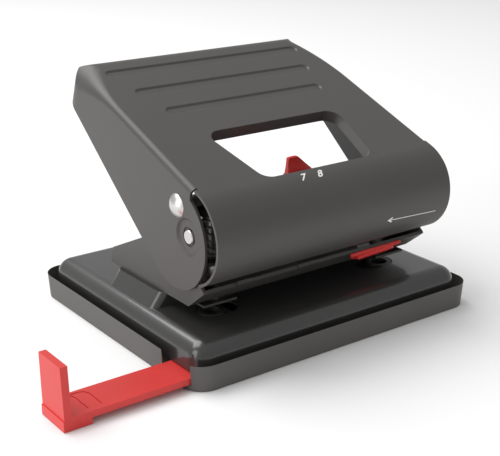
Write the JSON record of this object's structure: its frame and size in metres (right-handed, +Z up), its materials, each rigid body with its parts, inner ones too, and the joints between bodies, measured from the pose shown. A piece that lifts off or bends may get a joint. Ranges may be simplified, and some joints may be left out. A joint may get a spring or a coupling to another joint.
{
  "type": "hole punch",
  "caption": "Desk hole punch with a sprung lever handle, a spacing selector, a handle lock, a pull-out paper guide and a chip tray.",
  "frame": {"origin": "centre of the chip tray's underside, on the table", "axes": "+X along the row of holes, to the right seen from the paper slot; +Y from the slot towards the handle's rear edge; +Z up"},
  "size_m": [0.175, 0.111, 0.0925],
  "materials": {
    "tray_plastic": "satin",
    "black_base": "gloss",
    "black_frame": "satin",
    "grey_handle": "satin",
    "bright_steel": "bright",
    "plain_steel": "dull",
    "red_plastic": "satin",
    "cap_plastic": "satin"
  },
  "bodies": {
    "tray": {"chip_tray": "tray_plastic"},
    "base": {"base_plate": "black_base", "frame": "black_frame", "guide_bracket": "black_frame", "frame_rivets": "bright_steel", "pivot_pin_left": "bright_steel", "pivot_pin_right": "bright_steel", "selector_stud": "bright_steel"},
    "guide": {"paper_guide": "red_plastic"},
    "handle": {"handle": "grey_handle", "press_rod": "bright_steel", "lock_catch": "plain_steel"},
    "carriage_left": {"carriage_left": "plain_steel", "die_left": "bright_steel", "link_left": "plain_steel", "link_rivets_left": "bright_steel", "spring_left": "bright_steel"},
    "carriage_right": {"carriage_right": "plain_steel", "die_right": "bright_steel", "link_right": "plain_steel", "link_rivets_right": "bright_steel", "spring_right": "bright_steel"},
    "punch_left": {"punch_pin_left": "bright_steel", "pin_cap_left": "cap_plastic"},
    "punch_right": {"punch_pin_right": "bright_steel", "pin_cap_right": "cap_plastic"},
    "lever": {"selector_lever": "plain_steel", "pointer": "red_plastic"},
    "lock": {"lock_slider": "red_plastic", "lock_tongue": "plain_steel"}
  },
  "joints": [
    {"name": "base_lift", "type": "slide", "parent": "tray", "child": "base", "axis": [0, 0, 1], "range_m": [0, 0.012]},
    {"name": "guide_slide", "type": "slide", "parent": "tray", "child": "guide", "axis": [1, 0, 0], "range_m": [-0.0415, 0.0345]},
    {"name": "handle_hinge", "type": "hinge", "parent": "base", "child": "handle", "pos_m": [0, -0.0348, 0.0471], "axis": [-1, 0, 0], "range_deg": [0, 40], "stiffness_Nm_per_rad": 1.2, "springref_deg": -20.05},
    {"name": "selector_turn", "type": "hinge", "parent": "base", "child": "lever", "pos_m": [-0.0069, -0.0164, 0.0385], "axis": [0, -1, 0], "range_deg": [0, 25.79]},
    {"name": "left_unit_slide", "type": "slide", "parent": "base", "child": "carriage_left", "axis": [1, 0, 0], "range_m": [0, 0.005]},
    {"name": "right_unit_slide", "type": "slide", "parent": "base", "child": "carriage_right", "axis": [-1, 0, 0], "range_m": [0, 0.005]},
    {"name": "left_pin_slide", "type": "slide", "parent": "carriage_left", "child": "punch_left", "axis": [0, 0, -1], "range_m": [0, 0.00628], "deforming": ["spring_left"]},
    {"name": "right_pin_slide", "type": "slide", "parent": "carriage_right", "child": "punch_right", "axis": [0, 0, -1], "range_m": [0, 0.00628], "deforming": ["spring_right"]},
    {"name": "lock_slide", "type": "slide", "parent": "base", "child": "lock", "axis": [1, 0, 0], "range_m": [0, 0.006]}
  ],
  "couplings": [
    {"joint": "right_unit_slide", "follows": "left_unit_slide", "ratio": 1},
    {"joint": "selector_turn", "follows": "left_unit_slide", "rad_per_m": 90.03},
    {"joint": "left_pin_slide", "follows": "handle_hinge", "m_per_rad": 0.00899},
    {"joint": "right_pin_slide", "follows": "handle_hinge", "m_per_rad": 0.00899}
  ]
}
